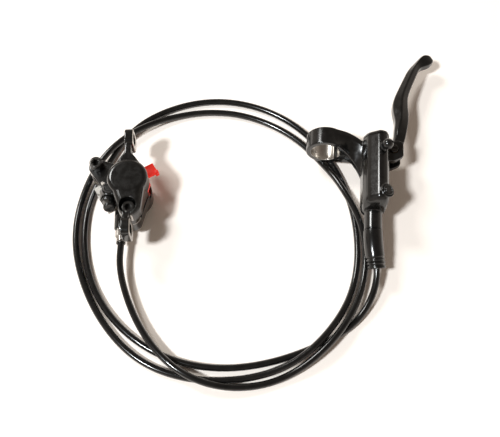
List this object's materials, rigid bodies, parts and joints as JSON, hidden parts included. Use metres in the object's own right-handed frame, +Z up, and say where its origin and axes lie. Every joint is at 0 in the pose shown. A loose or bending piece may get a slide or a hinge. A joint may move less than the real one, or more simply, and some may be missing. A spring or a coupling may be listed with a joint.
{
  "type": "hydraulic disc brake",
  "caption": "Bicycle hydraulic disc brake with a bar-clamp lever, a two-piston post-mount caliper and one looped hose between them.",
  "frame": {"origin": "on the table under the middle of the lever and caliper, measured without the hose", "axes": "+Z up from the table, +X from the caliper towards the lever, +Y away from the picture's viewer"},
  "size_m": [0.2884, 0.2757, 0.0489],
  "materials": {
    "black_casting": "satin black finish",
    "dark_steel": "blackened",
    "bright_steel": "plain satin",
    "gloss_black": "glossy moulded",
    "hose_black": "semi-gloss",
    "brass": "plain",
    "bronze": "sintered",
    "anodised_piston": "anodised",
    "seal_rubber": "matte",
    "piston_plastic": "moulded",
    "friction_lining": "pressed organic lining",
    "red_plastic": "translucent moulded"
  },
  "bodies": {
    "root": {"lever_housing": "black_casting", "reservoir_lid": "black_casting", "reservoir_plug": "black_casting", "caliper_outer_half": "black_casting", "caliper_inner_half": "black_casting", "passage_plug": "black_casting", "body_bolt_1": "dark_steel", "body_bolt_2": "dark_steel", "pivot_pin": "dark_steel", "clamp_bolt": "bright_steel", "hose_collar": "dark_steel", "bleed_screw": "gloss_black", "nipple_cap": "gloss_black", "hose_boot": "gloss_black", "hose": "hose_black", "bleed_nipple": "bright_steel", "hose_fitting": "bright_steel", "hose_nut": "bright_steel", "return_spring": "bright_steel", "pad_pin": "bright_steel", "pad_spring": "bright_steel", "caliper_hose_insert": "bright_steel", "lever_hose_insert": "bright_steel", "caliper_olive": "brass", "lever_olive": "brass", "upper_pivot_bush": "bronze", "lower_pivot_bush": "bronze", "outer_piston_seal": "seal_rubber", "inner_piston_seal": "seal_rubber", "bleed_o_ring": "seal_rubber", "reservoir_diaphragm": "seal_rubber", "pad_spacer": "red_plastic"},
    "lever_arm": {"lever_blade": "black_casting"},
    "piston_train": {"push_rod": "bright_steel", "master_piston": "anodised_piston", "primary_cup": "seal_rubber", "secondary_cup": "seal_rubber"},
    "outer_pad_set": {"outer_piston": "piston_plastic", "outer_pad_plate": "bright_steel", "outer_pad_lining": "friction_lining"},
    "inner_pad_set": {"inner_piston": "piston_plastic", "inner_pad_plate": "bright_steel", "inner_pad_lining": "friction_lining"}
  },
  "joints": [
    {"name": "lever_pull", "type": "hinge", "parent": "root", "child": "lever_arm", "pos_m": [0.09425, -0.00232, 0.0203], "axis": [0, 0, 1], "range_deg": [0, 22], "stiffness_Nm_per_rad": 0.8, "springref_deg": -5.73},
    {"name": "master_slide", "type": "slide", "parent": "root", "child": "piston_train", "axis": [-0.0785, -0.9969, 0], "range_m": [0, 0.0059], "deforming": ["return_spring"]},
    {"name": "outer_pad_slide", "type": "slide", "parent": "root", "child": "outer_pad_set", "axis": [0, 0, -1], "range_m": [0, 0.00035]},
    {"name": "inner_pad_slide", "type": "slide", "parent": "root", "child": "inner_pad_set", "axis": [0, 0, 1], "range_m": [0, 0.00035]}
  ],
  "couplings": [
    {"joint": "master_slide", "follows": "lever_pull", "m_per_rad": 0.0153},
    {"joint": "outer_pad_slide", "follows": "lever_pull", "m_per_rad": 0.0009},
    {"joint": "inner_pad_slide", "follows": "lever_pull", "m_per_rad": 0.0009}
  ]
}
